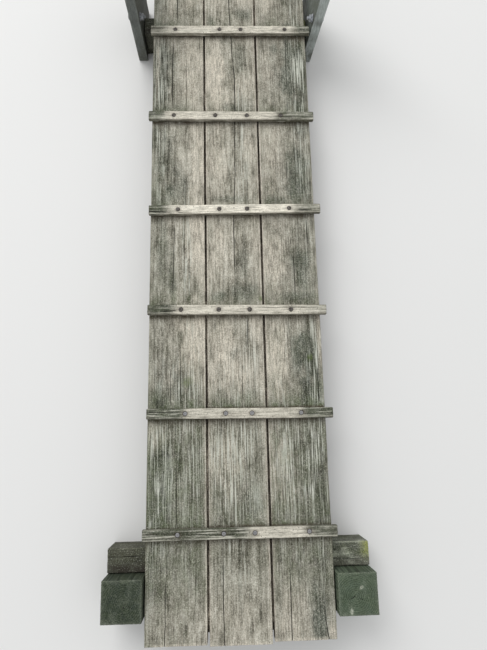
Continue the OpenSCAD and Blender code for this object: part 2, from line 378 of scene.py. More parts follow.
def timberMaterial(name, slot, finish, turn=(0, 0, 0), shift=(0, 0, 0)):
    material, tree, shader = newMaterial(name)
    coordinate = addNode(tree, "ShaderNodeTexCoord").outputs["Object"]
    base = addNode(tree, "ShaderNodeMapping", Vector=coordinate, Rotation=turn, Location=shift).outputs[0]

    def ranged(*settings):
        return rangeNode(tree, *settings)

    def masked(mark, *settings):
        return mathNode(tree, "MULTIPLY", markNode(tree, mark), ranged(*settings), clamp=True)

    noises = {key: stretchedNoise(tree, base, *settings) for key, settings in woodNoise.items()}
    fibre, patch, speck = noises["fibre"], noises["patch"], noises["speck"]
    weighted = [(noises[key], finish[key]) for key in ("fibre", "streak", "patch", "speck")]
    tone = sumNode(tree, 0.5 - 0.5 * sum(weight for _, weight in weighted), *weighted,
                   (markNode(tree, "grain"), -finish["late"]))
    # worn pale wood keeps its light and dark grain
    grain = sumNode(tree, 0.0, (fibre, 0.45), (speck, 0.55))
    worn = addNode(tree, "ShaderNodeVectorMath", operation="SCALE")
    feedAll(tree, worn, {0: finish["pale"], "Scale": ranged(grain, 0.42, 0.58, *finish["paleGrain"])})
    ridges = masked("ridges", noises["lines"], 0.53, 0.59)
    ridges = mathNode(tree, "MULTIPLY", ridges, ranged(patch, 0.3, 0.48), clamp=True)
    algaeColour = mixColour(tree, ranged(speck, 0.42, 0.68), finish["algae"], finish["algaeLight"])
    cells = addNode(tree, "ShaderNodeTexVoronoi", Vector=base, Scale=finish["pitScale"])
    pits = ranged(cells.outputs["Distance"], 0.1, 0.2, finish["pits"], 0.0)
    pits = mathNode(tree, "MULTIPLY", pits, ranged(patch, 0.46, 0.54), clamp=True)
    # coats from below to above: where, colour, blending
    coats = [
        (masked("dark", speck, 0.66, 0.4, 0.55), finish["dark"], "MULTIPLY"),
        (masked("pale", fibre, 0.3, 0.58, 0.3), worn.outputs[0], "MIX"),
        (masked("ridges", noises["lines"], 0.47, 0.38, 0.0, finish["furrows"]), finish["furrow"], "MULTIPLY"),
        (ridges, finish["ridge"], "MIX"),
        (masked("algae", noises["growth"], 0.36, 0.6), algaeColour, "MIX"),
        (masked("moss", speck, 0.4, 0.55), finish["moss"], "MIX"),
        (masked("grimeAndShade", noises["growth"], 0.3, 0.55, 0.35), finish["grimeAndShade"], "MIX"),
        (ranged(speck, 0.62, 0.72, 0.0, finish["dots"]), finish["lichen"], "MIX"),
        (pits, finish["pit"], "MIX"),
        # inside cracks, screw seats, knotholes and end checks the colour goes near black: painted shade in
        # the hollows
        (ranged(markNode(tree, "split"), 0.0, 0.45, 0.0, 0.95), finish["gap"], "MIX"),
    ]
    colour = rampNode(tree, tone, finish["tones"])
    for where, over, blending in coats:
        colour = mixColour(tree, where, colour, over, blending)
    height = sumNode(tree, 0.0, (fibre, 0.6), (speck, 0.4), (pits, -0.5))
    bump = addNode(tree, "ShaderNodeBump", Strength=finish["bump"], Distance=0.0015, Height=height)
    feedAll(tree, shader, {"Base Color": colour, "Roughness": ranged(tone, 0.2, 0.8, *finish["rough"]),
                           "Specular IOR Level": finish["shine"], "Normal": bump.outputs[0]})
    return material, slot


# deck planks

deckLook = {
    "relief": 0.9 * mm,         # height of the hard grain over the soft
    "wear": 1.0 * mm,           # most wood lost from an arris
    "cup": 1.2 * mm,
    "edge": 2.2 * mm,
    "steps": (2.2 * mm, 6 * mm, 4 * mm),
    "crackReach": 18 * mm,
    "algaeBand": 26 * mm,       # green growth beyond each batten
    "bandStrength": (1.0, 1.7, 1.0, 0.55, 0.9, 0.8),  # from the nearest batten on
    "grimeAndShadeBand": 9 * mm,        # dark line on the near side of each batten: dirt and painted shade in the corner
    "nearGreen": (-330, -520),  # the deck gets greener from the first to the second, millimetres
    "nearEnd": (-930, -760),    # and the near end is less green
    "sideStrip": 20 * mm,       # no seam is this near to a side of the deck
}
deckFinish = {
    "tones": [(0.1, (0.06, 0.056, 0.041)), (0.3, (0.18, 0.167, 0.13)), (0.5, (0.345, 0.323, 0.264)),
              (0.68, (0.5, 0.472, 0.395)), (0.88, (0.72, 0.69, 0.6))],
    "fibre": 0.85, "streak": 0.35, "patch": 1.15, "speck": 0.8, "late": 0.14,
    "dark": (0.28, 0.33, 0.31), "pale": (0.57, 0.52, 0.43), "ridge": (0.62, 0.63, 0.55),
    "algae": (0.085, 0.1, 0.052), "algaeLight": (0.22, 0.25, 0.16), "moss": (0.085, 0.12, 0.03),
    "grimeAndShade": (0.075, 0.055, 0.038), "lichen": (0.62, 0.63, 0.54), "dots": 0.4,
    "pits": 0.8, "pitScale": 170, "rough": (0.95, 0.8), "shine": 0.25, "bump": 0.5, "furrows": 0.9,
    "furrow": (0.22, 0.22, 0.2), "pit": (0.03, 0.026, 0.02), "gap": (0.012, 0.011, 0.009),
    "paleGrain": (0.72, 1.38),  # how dark and how light the fibres of worn pale wood get
}
# stains: across and along the bridge, half widths, strength; millimetres from the middle of the bridge
plankLooks = {
    "left": {
        "node": "left_plank", "seed": 11, "tint": 1.0, "green": 0.9, "nearShade": 1.0,
        "rings": {"pithX": 0.002, "pithZ": -0.05, "sway": 0.012, "swayRate": 2.6, "spacing": 0.0062},
        "knots": [(0.031, 0.352, 0.007), (-0.048, -0.71, 0.008)],
        "cracks": [crack([(0, -700), (-1, -560)], 1.4, 4, 0.8, 1),
                   crack([(-17, -400), (-17, -300)], 1.4, 4, 0.8, 2),
                   crack([(-12, -110), (-10, 0), (-9, 110)], 1.5, 5, 1, 3),
                   crack([(-17, 460), (-18, 560), (-16, 640), (-13, 700)], 1.9, 6, 1.2, 4),
                   crack([(24, 455), (24.5, 640)], 1.0, 3, 0.5, 5),
                   crack([(-3, 745), (-3, 880), (-5, 962)], 2.2, 8, 1, 6, 0.2, 0.01),
                   crack([(-27, -962), (-25, -800)], 1.8, 7, 1, 7, 0.02, 0.3)],
        "dark": [(-212, 0, 40, 1500, 0.3), (-200, 600, 38, 170, 0.65), (-196, 330, 42, 100, 0.45),
                 (-150, 212, 30, 52, 0.6), (-206, 175, 35, 60, 0.35), (-165, -40, 10, 130, 0.5),
                 (-192, 20, 22, 90, 0.3), (-128, -345, 40, 42, 0.6), (-126, -340, 14, 14, 0.8),
                 (-192, -380, 38, 40, 0.5), (-190, -310, 26, 50, 0.2), (-170, 460, 60, 26, 0.4),
                 (-200, -560, 30, 140, 0.3), (-200, -650, 40, 36, 0.6)],
        "pale": [(-112, 580, 40, 150, 0.75), (-100, 60, 34, 150, 0.85), (-108, -230, 36, 120, 0.9),
                 (-100, 290, 24, 130, 0.7), (-214, 600, 6, 110, 0.5), (-175, 820, 12, 60, 0.5),
                 (-150, -150, 26, 60, 0.5), (-215, -430, 12, 40, 0.5), (-205, -475, 30, 36, 0.6),
                 (-112, 850, 30, 60, 0.6)],
        "ridges": [(-128, 20, 16, 190, 0.8), (-205, 480, 22, 480, 0.5), (-120, -500, 40, 300, 0.6),
                   (-150, -330, 14, 70, 0.5), (-196, -560, 40, 260, 0.8)],
        "moss": [(-126, -338, 14, 12, 0.7)],
    },
    "middle": {
        "node": "middle_plank", "seed": 23, "tint": 1.06, "green": 0.6, "nearShade": 0.55,
        "rings": {"pithX": 0.012, "pithZ": -0.05, "sway": 0.013, "swayRate": 2.1, "spacing": 0.0066},
        "knots": [(0.027, 0.632, 0.009), (-0.002, -0.27, 0.006)],
        "cracks": [crack([(1, -80), (1, 100), (5, 200), (9, 258), (9, 400), (12, 450), (12, 575), (6, 640),
                          (4, 690), (2, 740), (0, 800), (-2, 966)], 2.3, 10, 1.2, 8, 0.12, 0.01),
                   crack([(32, -300), (33, -165)], 1.5, 5, 0.8, 9),
                   crack([(16, -396), (17, -290)], 1.4, 5, 0.8, 10),
                   crack([(-41, -966), (-40, -700)], 1.7, 7, 1, 11, 0.02, 0.3),
                   crack([(20, -640), (21, -520)], 1.2, 4, 0.8, 12)],
        "dark": [(27, 630, 24, 62, 0.55), (-8, 692, 30, 22, 0.4), (42, 785, 36, 30, 0.75),
                 (-58, 760, 16, 20, 0.55), (-14, 466, 24, 14, 0.7), (38, 450, 30, 70, 0.45),
                 (27, -17, 24, 60, 0.55), (30, -100, 56, 30, 0.75), (-42, -110, 34, 15, 0.6),
                 (-2, -270, 14, 18, 0.7), (68, 95, 16, 26, 0.55), (-5, 174, 64, 12, 0.6),
                 (30, -640, 30, 60, 0.4), (40, -372, 30, 22, 0.35)],
        "pale": [(-42, 520, 34, 110, 1.0), (-44, 640, 26, 70, 0.7), (-44, 290, 30, 110, 0.6),
                 (-42, 30, 34, 100, 0.6), (-36, -235, 36, 70, 0.8), (45, 330, 22, 60, 0.5),
                 (-40, 860, 26, 60, 0.5), (52, -190, 20, 50, 0.6), (32, 530, 34, 50, 0.5),
                 (60, 40, 12, 90, 0.5), (-20, -900, 60, 80, 0.3), (-30, -540, 46, 90, 0.6),
                 (0, -325, 66, 50, 0.7), (40, 860, 30, 60, 0.6)],
        "ridges": [(30, 330, 20, 260, 0.5), (-10, -560, 70, 260, 0.75), (40, -250, 20, 120, 0.5)],
        "moss": [(71, -117, 8, 11, 1.0)],
    },
    "right": {
        "node": "right_plank", "seed": 37, "tint": 0.92, "green": 0.9, "nearShade": 0.7,
        "rings": {"pithX": 0.075, "pithZ": -0.03, "sway": 0.012, "swayRate": 2.4, "spacing": 0.006},
        "knots": [(-0.04, 0.21, 0.006)],
        "cracks": [crack([(60, -400), (60, -300)], 1.4, 5, 0.8, 13),
                   crack([(10, -112), (10, 12)], 1.2, 4, 0.8, 14),
                   crack([(51, 35), (50, 112)], 1.8, 5, 0.8, 15),
                   crack([(1, 165), (2, 300)], 1.2, 4, 0.8, 16),
                   crack([(-33, -966), (-32, -790)], 1.9, 8, 1, 17, 0.02, 0.3),
                   crack([(14, 560), (16, 700)], 1.2, 4, 1, 18),
                   crack([(58, -966), (52, -940), (49, -913), (50, -880)], 2.4, 9, 1, 19, 0.02, 0.3)],
        "dark": [(205, 0, 44, 1500, 0.35), (172, 580, 26, 160, 0.85), (206, 580, 26, 160, 0.6),
                 (120, 600, 40, 160, 0.25), (182, 250, 36, 100, 0.9), (122, 168, 38, 16, 0.6),
                 (180, -30, 30, 70, 0.65), (176, -270, 42, 80, 0.9), (196, -370, 36, 40, 0.5),
                 (135, 662, 18, 18, 0.5), (170, -112, 60, 17, 0.6), (200, 420, 26, 50, 0.4),
                 (186, -925, 15, 40, 1.0), (186, -900, 24, 60, 0.6)],
        "pale": [(108, 590, 20, 90, 0.4), (112, 330, 30, 120, 0.45), (112, -10, 32, 110, 0.8),
                 (110, 850, 30, 60, 0.8), (222, -200, 7, 110, 0.7), (110, -280, 34, 110, 0.9),
                 (108, -560, 34, 110, 0.5), (128, -900, 40, 90, 0.5), (218, -940, 9, 26, 0.8)],
        "ridges": [(204, 560, 26, 400, 0.75), (206, -470, 26, 380, 0.8), (204, 75, 9, 60, 1.0),
                   (130, -560, 50, 240, 0.7), (140, -230, 10, 60, 0.6)],
        "moss": [(195, -279, 8, 9, 0.9)],
    },
}
battenRow = {
    "count": 6, "start": 244.5 * mm, "width": 29 * mm, "height": 16 * mm, "over": 20 * mm,
    "shift": (2.5, 8, 6.5, 5.5, 1, 3),                 # millimetres to the right
    "along": (7.5, 8.5, -6.5, -6.5, -3.5, -1.5),       # and along the bridge
    "turn": (-0.15, -0.6, -0.6, 0.4, -0.1, 0.45),      # degrees
    "screwPlaces": (-154, -38, 38, 154),
    "screwOff": ((4, 0, 0, 17), (22, 9, 0, 10), (11, -5, 1, -5), (2, 0, 1, 2), (-11, -8, 7, -11),
                 (-8, 8, -5, 12)),
}
deckLow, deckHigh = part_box("middle_plank")
deckTop = deckHigh[2]
deckEnd = deckHigh[1]
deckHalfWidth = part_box("right_plank")[1][0]
battenPitch = (2 * deckEnd - 2 * battenRow["start"]) / (battenRow["count"] - 1)
battenYs = [(k - (battenRow["count"] - 1) / 2) * battenPitch + off * mm
            for k, off in enumerate(battenRow["along"])]


def tintedFinish(finish, tint, **changes):
    tones = [(place, tuple(min(0.95, c * tint) for c in colour)) for place, colour in finish["tones"]]
    return dict(finish, tones=tones, **changes)


def plankMarks(key, centre):
    look = plankLooks[key]

    def dress(p, normal, surface):
        x = p[:, 0] + centre[0]
        y = p[:, 1] + centre[1]
        spots = layeredNoise(x * 30, y * 12, 0.5, look["seed"] + 20, 3)
        ragged = layeredNoise(x * 45, y * 26, 0.5, look["seed"] + 22, 4)
        green, greener = (value * mm for value in deckLook["nearGreen"])
        endLow, endHigh = (value * mm for value in deckLook["nearEnd"])
        nearPart = look["nearShade"] * ease(green, greener, y) * ease(endLow, endHigh, y)
        upper = ease(0.2, 0.8, normal[:, 2])
        across = np.abs(normal[:, 0])
        # along a seam only the deep part of a side is dark, painted shade in the gap, and the arrises are
        # worn pale with a painted highlight, most on its left
        inner = np.abs(x) < deckHalfWidth - deckLook["sideStrip"]
        side = across > np.where(inner, 0.95, 0.6)
        seam = inner * ease(0.93, 1.0, across)
        arris = inner * np.maximum(surface["onEdge"], ease(0.1, 0.45, across)) * (1 - seam)
        arris = arris * (normal[:, 2] > 0) * np.where(p[:, 0] > 0, 1.0, 0.75)
        algae = 0.1 + 0.3 * spots + 0.4 * nearPart
        dark = stains(x, y, look["dark"], ragged) + 0.6 * nearPart + 0.3 * ease(0.2, 0.9, spots)
        # undersides and sides are darkened as painted shade, the end grain with dirt, and the deep part of a
        # seam most
        grimeAndShade = 0.45 * ((normal[:, 2] < -0.3) | side) + 0.5 * surface["end"] + seam
        for k, battenY in enumerate(battenYs):
            strength = 0.55 + 0.5 * smoothNoise(x * 16, k * 3.7, 0.5, look["seed"] + 21) + 0.3 * ragged
            beyond = y - battenY - battenRow["width"] / 2
            band = np.exp(-np.maximum(beyond, 0) / deckLook["algaeBand"]) * (beyond > -0.03)
            band = band * deckLook["bandStrength"][k] * strength
            algae = algae + 1.1 * band
            dark = dark + 0.45 * band
            # a dark line on the deck at the near side of each batten: dirt and painted shade where batten and
            # deck meet
            before = battenY - battenRow["width"] / 2 - y
            foot = np.exp(-np.maximum(before, 0) / deckLook["grimeAndShadeBand"]) * (before > -0.03)
            grimeAndShade = grimeAndShade + foot * (0.75 + 0.4 * spots)
        algae = algae * look["green"] + 0.3 * surface["onEdge"] * (1 - inner) + 0.35 * side
        worn = stains(x, y, look["pale"], ragged) + 0.25 * surface["onEdge"]
        return {"algae": algae * (1 - 0.9 * arris), "grimeAndShade": grimeAndShade,
                "dark": upper * dark * (1 - 0.9 * arris) + seam,
                "moss": upper * stains(x, y, look["moss"], ragged),
                "pale": upper * worn + arris,
                "ridges": upper * (0.12 + stains(x, y, look["ridges"], 0.6 * ragged))}

    return dress


def buildPlanks():
    for index, (key, look) in enumerate(plankLooks.items()):
        middle, size = boxOf(look["node"])
        rings = dict(look["rings"], seed=look["seed"], knots=look["knots"])
        cut = dict(deckLook, size=size, cracks=look["cracks"], rings=rings, seed=look["seed"])
        material = timberMaterial("weatheredPlank_" + key, "deck_timber",
                                  tintedFinish(deckFinish, look["tint"]),
                                  shift=(index * 1.7, index * 0.9, 0))
        carveTimber(key + "Plank", cut, Matrix.Translation(middle), material, [look["node"]],
                    plankMarks(key, middle))


# dirt packed low in the two seams of the deck

dirtFinish = dict(
    deckFinish, fibre=0.5, streak=0.3, patch=1.0, speck=1.4, dots=0.3, bump=0.8,
    tones=[(0.2, (0.045, 0.037, 0.027)), (0.45, (0.16, 0.136, 0.105)), (0.65, (0.3, 0.26, 0.2)),
           (0.85, (0.46, 0.42, 0.34))],
)
dirtLook = {"base": 3 * mm, "height": 21 * mm, "lumps": 17 * mm, "bite": 1.1 * mm, "step": 5 * mm,
            "inset": 22 * mm, "taper": 30 * mm, "below": 2.4 * mm, "least": 1 * mm, "seed": 61}


def buildSeamDirt():
    # one strip in each seam: a row of outlines of eight points, four at the base and four on top
    ys = np.arange(-deckEnd + dirtLook["inset"], deckEnd - dirtLook["inset"], dirtLook["step"])
    base = deckLow[2] + dirtLook["base"]
    points, faces = [], []
    names = [look["node"] for look in plankLooks.values()]
    for index, (left, right) in enumerate(zip(names, names[1:])):
        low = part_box(left)[1][0] - dirtLook["bite"]
        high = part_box(right)[0][0] + dirtLook["bite"]
        across = np.linspace(low, high, 4)
        first = len(points)
        for y in ys:
            inFromEnd = min(y - ys[0], ys[-1] - y) / dirtLook["taper"]
            lumps = layeredNoise(across * 300, np.full(4, y * 55), 0.5, dirtLook["seed"] + index, 3)
            drift = smoothNoise(np.full(4, y * 9.0), 0.5, 0.5, dirtLook["seed"] + 5 + index)
            tall = (dirtLook["height"] + dirtLook["lumps"] * (lumps + drift)) * min(1, 0.15 + inFromEnd)
            tops = np.clip(base + tall, base + dirtLook["least"], deckTop - dirtLook["below"])
            points += [(x, y, base) for x in across] + [(x, y, z) for x, z in zip(across[::-1], tops[::-1])]
        last = first + 8 * (len(ys) - 1)
        for start in range(first, last, 8):
            for k in range(8):
                after = (k + 1) % 8
                faces.append((start + k, start + 8 + k, start + 8 + after, start + after))
        for k in range(3):
            faces.append((first + k, first + k + 1, first + 6 - k, first + 7 - k))
            faces.append((last + k, last + 7 - k, last + 6 - k, last + k + 1))
    material = timberMaterial("packedDirt", "deck_timber", dirtFinish)
    piece = meshPiece("seamDirt", points, faces, material[0])
    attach(piece, body)
    print("seam dirt", len(faces), "faces")


# battens across the deck

battenFinish = dict(
    deckFinish, fibre=0.7, streak=0.8, patch=0.9, speck=0.8, late=0.12,
    tones=[(0.1, (0.055, 0.051, 0.036)), (0.3, (0.13, 0.119, 0.088)), (0.5, (0.26, 0.24, 0.19)),
           (0.7, (0.42, 0.395, 0.33)), (0.9, (0.62, 0.59, 0.51))],
    pale=(0.84, 0.79, 0.67), ridge=(0.7, 0.68, 0.58), algae=(0.06, 0.066, 0.042),
    algaeLight=(0.15, 0.165, 0.11), grimeAndShade=(0.07, 0.05, 0.033), dots=0.15, pits=0.9, pitScale=150,
    paleGrain=(0.86, 1.14),
)
battenLook = {
    "edge": 3.2 * mm, "relief": 0.8 * mm, "wear": 2.4 * mm,
    "steps": (1.1 * mm, 2.6 * mm, 1.8 * mm), "crackReach": 9 * mm,
    # the hollow over each screw
    "seat": {"x": 0, "inner": 4.9 * mm, "outer": 6.2 * mm, "depth": 3.6 * mm},
    # the dark ring round each screw hollow, dirt and painted shade: half length along and across the batten
    "seatDirtAndShade": (9 * mm, 7 * mm),
    # where each batten is worn pale, in millimetres from the middle of the deck, and how pale
    "paleFrom": (20, -140, -165, -180, -198, -186),
    "paleTo": (175, 178, 196, 176, 136, 200),
    "paleness": (0.66, 0.55, 0.72, 1.0, 0.76, 0.78),
    # how dark the left and the right end of each is
    "leftEnd": (1.0, 1.1, 1.0, 1.0, 1.1, 0.45),
    "rightEnd": (0.8, 1.0, 0.35, 0.55, 0.9, 0.85),
}
past = 240  # millimetres, just past a batten's end
battenSplits = [
    [crack([(4, 120), (5, past)], 1.3, 5, 0.6, 21, 0.4, 0.02)],
    [crack([(-3, -past), (-4, -150)], 1.4, 5, 0.6, 22, 0.02, 0.4),
     crack([(2, 150), (3, past)], 1.2, 4, 0.6, 29, 0.4, 0.02)],
    [crack([(6, -200), (2, -160)], 2.4, 8, 0.8, 23), crack([(-5, 60), (-4, 230)], 1.0, 4, 0.6, 30)],
    [crack([(4, -past), (8, -170), (11, -110)], 2.4, 9, 0.6, 24, 0.02, 0.4),
     crack([(5, 150), (6, past)], 1.4, 5, 0.6, 25, 0.4, 0.02)],
    [crack([(-2, -past), (-1, -170)], 1.3, 5, 0.6, 26, 0.02, 0.4),
     crack([(3, 100), (2, 180), (2, past)], 1.7, 6, 0.6, 31, 0.4, 0.02)],
    [crack([(-4, -past), (-3, -165)], 1.7, 6, 0.6, 28, 0.02, 0.4),
     crack([(2, 175), (2, past)], 2.0, 7, 0.6, 27, 0.4, 0.02)],
]


def battenPlace(k):
    spin = Matrix.Rotation(math.radians(battenRow["turn"][k]), 4, "Z")
    return Matrix.Translation((0, battenYs[k], deckTop)) @ spin


def screwXs(k):
    return [(place + off) * mm for place, off in zip(battenRow["screwPlaces"], battenRow["screwOff"][k])]


def battenMarks(k):
    start, end = battenLook["paleFrom"][k] * mm, battenLook["paleTo"][k] * mm
    seatRingLong, seatRingWide = battenLook["seatDirtAndShade"]

    def dress(p, normal, surface):
        x = p[:, 1] + battenRow["shift"][k] * mm
        ragged = layeredNoise(x * 20, p[:, 0] * 60, 0.5, 300 + k, 2)
        streaky = layeredNoise(x * 60, p[:, 0] * 90, p[:, 2] * 160, 320 + k, 2)
        wavy = x + 0.02 * ragged
        worn = ease(start - 0.02, start + 0.025, wavy) * ease(end + 0.02, end - 0.025, wavy)
        shade = np.where(x < 0, battenLook["leftEnd"][k], battenLook["rightEnd"][k])
        ends = (1 - worn) * shade
        upper = ease(0.2, 0.8, normal[:, 2])
        near = ease(0.3, 0.9, normal[:, 0])
        nearHalf = ease(0.002, 0.012, p[:, 0]) * upper
        pale = battenLook["paleness"][k] * worn * (0.3 + 0.7 * upper) + 0.2 * ends * nearHalf
        pale = pale + 0.6 * (1 - worn) * (1 - shade) * upper + 0.6 * near * ease(0.0, 0.5, streaky)
        algae = 0.8 * ends * (1 - 0.5 * nearHalf) + 0.3 * (1 - upper) + 0.15 * surface["broad"]
        dark = 1.4 * ends + 0.8 * near * ease(0.0, -0.5, streaky)
        dark = dark + 0.4 * ease(0.25, 0.8, ragged) * (1 - worn * 0.6)
        # dirt on the end grain, and painted shade on the sides, most on the near face
        grimeAndShade = 0.2 * (1 - upper) + 0.2 * near + 0.25 * surface["end"]
        # round each screw hollow the wood is darkened: dirt and painted shade
        for place in screwXs(k):
            away = np.hypot((x - place) / seatRingLong, p[:, 0] / seatRingWide)
            grimeAndShade = grimeAndShade + 0.75 * np.exp(-away ** 2) * upper
        return {"algae": algae, "grimeAndShade": grimeAndShade, "pale": pale, "dark": dark, "ridges": 0.3 + 0.4 * ends}

    return dress


def buildBattens():
    size = (battenRow["width"], 2 * deckHalfWidth + battenRow["over"], battenRow["height"])
    for k in range(battenRow["count"]):
        number = str(k + 1)
        shift = battenRow["shift"][k] * mm
        places = [x - shift for x in screwXs(k)]
        holes = [dict(battenLook["seat"], y=y) for y in places]
        # finer steps along the batten at each screw
        fineY = [y + away * mm for y in places for away in range(-7, 8)]
        rings = {"pithX": 0.004 * (-1) ** k, "pithZ": -0.035 - 0.006 * k, "sway": 0.01, "swayRate": 3.5,
                 "spacing": 0.0036, "seed": 50 + k, "knots": [(0.006, 0.06 - 0.05 * k, 0.004)]}
        cut = dict(battenLook, size=size, cracks=battenSplits[k], rings=rings, seed=70 + 5 * k, holes=holes,
                   fineY=fineY)
        lay = Matrix.Translation((shift, 0, battenRow["height"] / 2)) @ Matrix.Rotation(-math.pi / 2, 4, "Z")
        material = timberMaterial("wornBatten_" + number, "batten_timber", battenFinish,
                                  turn=(0, 0, math.pi / 2), shift=(0.6 * k, 1.3 * k, 0))
        carveTimber("batten" + number, cut, battenPlace(k) @ lay, material, ["batten_" + number],
                    battenMarks(k))


# screws, one tree for all of them

screwLook = {
    "headDiameter": 10 * mm, "sink": 1 * mm, "domeHeight": 0.7 * mm, "recessWidth": 1.5 * mm,
    "recessReach": 2.9 * mm, "recessDepth": 1.2 * mm, "coneHeight": 3 * mm, "shankDiameter": 4.5 * mm,
    "wobble": 0.12, "seed": 5, "domeBend": 3.0, "recessSlope": 2.5, "rimDirtAndShade": 4.0,
    "stretches": (0.7, 0.9),  # shares of the outline where crown and cone end
}
screwSockets = {"Head Diameter": "headDiameter", "Dome Height": "domeHeight", "Recess Width": "recessWidth",
                "Recess Reach": "recessReach", "Recess Depth": "recessDepth", "Cone Height": "coneHeight",
                "Shank Diameter": "shankDiameter", "Wobble": "wobble", "Seed": "seed"}
screwMetal = {
    "tones": [(0.38, (0.03, 0.025, 0.02)), (0.52, (0.12, 0.108, 0.095)), (0.7, (0.38, 0.36, 0.34))],
    "scale": 420, "spot": (0.1, 0.06, 0.04), "rough": (0.75, 0.5), "metal": 0.3,
    # the screws of the nearer battens are cleaner
    "clean": (0.43, 0.43, 0.44), "cleaner": (-0.28, -0.4, 0.0, 0.8),
}


def screwTree(material):
    tree = bpy.data.node_groups.new("screwHeads", "GeometryNodeTree")
    face = tree.interface
    face.new_socket("Geometry", in_out="INPUT", socket_type="NodeSocketGeometry")
    for label in screwSockets:
        kind = "NodeSocketInt" if label == "Seed" else "NodeSocketFloat"
        face.new_socket(label, in_out="INPUT", socket_type=kind)
    face.new_socket("Geometry", in_out="OUTPUT", socket_type="NodeSocketGeometry")
    start = tree.nodes.new("NodeGroupInput").outputs

    def node(kind, **settings):
        return addNode(tree, kind, **settings).outputs

    operations = "ADD", "SUBTRACT", "MULTIPLY", "DIVIDE", "MINIMUM", "MAXIMUM", "ABSOLUTE", "POWER"
    plus, minus, times, over, lesser, greater, size, power = (partial(mathNode, tree, k) for k in operations)
    gridSize = {"Size X": 1.0, "Size Y": 1.0, "Vertices X": 41, "Vertices Y": 21}
    grid = node("GeometryNodeMeshGrid", **gridSize)
    split = node("ShaderNodeSeparateXYZ", Vector=node("GeometryNodeInputPosition")[0])
    angle = times(plus(split[0], 0.5), 2 * math.pi)
    step = plus(split[1], 0.5)
    headRadius = times(start["Head Diameter"], 0.5)
    shankRadius = times(start["Shank Diameter"], 0.5)
    # three stretches of the outline: crown, cone, underside
    crownEnd, coneEnd = screwLook["stretches"]
    crown = lesser(over(step, crownEnd), 1.0)
    cone = greater(lesser(over(minus(step, crownEnd), coneEnd - crownEnd), 1.0), 0.0)
    under = greater(over(minus(step, coneEnd), 1 - coneEnd), 0.0)
    radius = times(headRadius, crown)
    radius = minus(radius, times(cone, minus(headRadius, shankRadius)))
    radius = minus(radius, times(under, shankRadius))
    x = times(radius, mathNode(tree, "COSINE", angle))
    y = times(radius, mathNode(tree, "SINE", angle))
    dome = times(start["Dome Height"], minus(1.0, power(crown, screwLook["domeBend"])))
    # cross recess in the crown
    thin, long = (choose(size(x), size(y)) for choose in (lesser, greater))
    inSlot = mathNode(tree, "LESS_THAN", thin, times(start["Recess Width"], 0.5))
    inReach = minus(1.0, over(long, start["Recess Reach"]))
    inReach = lesser(times(greater(inReach, 0.0), screwLook["recessSlope"]), 1.0)
    inCross = times(inSlot, inReach)
    z = minus(dome, times(inCross, start["Recess Depth"]))
    z = minus(z, times(cone, start["Cone Height"]))
    joined = node("ShaderNodeCombineXYZ", X=x, Y=y, Z=z)
    shape = node("GeometryNodeSetPosition", Geometry=grid["Mesh"], Position=joined[0])
    # dirt and painted shade sit in the recess and round the rim
    dirtAndShade = node("GeometryNodeStoreNamedAttribute", Geometry=shape[0], Name="dirtAndShade",
                Value=greater(power(crown, screwLook["rimDirtAndShade"]), inCross))
    weld = node("GeometryNodeMergeByDistance", Geometry=dirtAndShade[0], Distance=0.00001)
    smooth = node("GeometryNodeSetShadeSmooth", Geometry=weld[0])
    # each screw leans a little and stops at its own angle
    wobble = start["Wobble"]
    back = times(wobble, -1.0)
    most = node("ShaderNodeCombineXYZ", X=wobble, Y=wobble, Z=math.pi)
    least = node("ShaderNodeCombineXYZ", X=back, Y=back)
    turn = node("FunctionNodeRandomValue", data_type="FLOAT_VECTOR", Max=most[0], Min=least[0],
                Seed=start["Seed"])
    place = node("GeometryNodeInstanceOnPoints", Points=start["Geometry"], Instance=smooth[0],
                 Rotation=turn[0])
    realize = node("GeometryNodeRealizeInstances", Geometry=place[0])
    paint = node("GeometryNodeSetMaterial", Geometry=realize[0], Material=material)
    feed(tree, tree.nodes.new("NodeGroupOutput").inputs[0], paint[0])
    return tree


def metalMaterial(name, slot, look):
    material, tree, shader = newMaterial(name)
    coordinate = addNode(tree, "ShaderNodeTexCoord").outputs["Object"]
    stain = stretchedNoise(tree, coordinate, (look["scale"],) * 3, 4, 0.65)
    fine = stretchedNoise(tree, coordinate, (look["scale"] * 5,) * 3, 3, 0.6, (4, 2, 8))
    along = addNode(tree, "ShaderNodeSeparateXYZ", Vector=coordinate).outputs[1]
    colour = rampNode(tree, stain, look["tones"])
    colour = mixColour(tree, rangeNode(tree, along, *look["cleaner"]), colour, look["clean"])
    colour = mixColour(tree, rangeNode(tree, fine, 0.5, 0.7, 0.0, 0.5), colour, look["spot"])
    # the recess and the rim go near black: dirt and painted shade
    dirtAndShade = rangeNode(tree, markNode(tree, "dirtAndShade"), 0.15, 0.6, 0.0, 0.92)
    colour = mixColour(tree, dirtAndShade, colour, (0.03, 0.025, 0.02))
    bump = addNode(tree, "ShaderNodeBump", Strength=0.4, Distance=0.0004, Height=fine)
    rough = rangeNode(tree, stain, 0.35, 0.65, *look["rough"])
    feedAll(tree, shader, {"Base Color": colour, "Roughness": rough, "Metallic": look["metal"],
                           "Normal": bump.outputs[0]})
    return material, slot


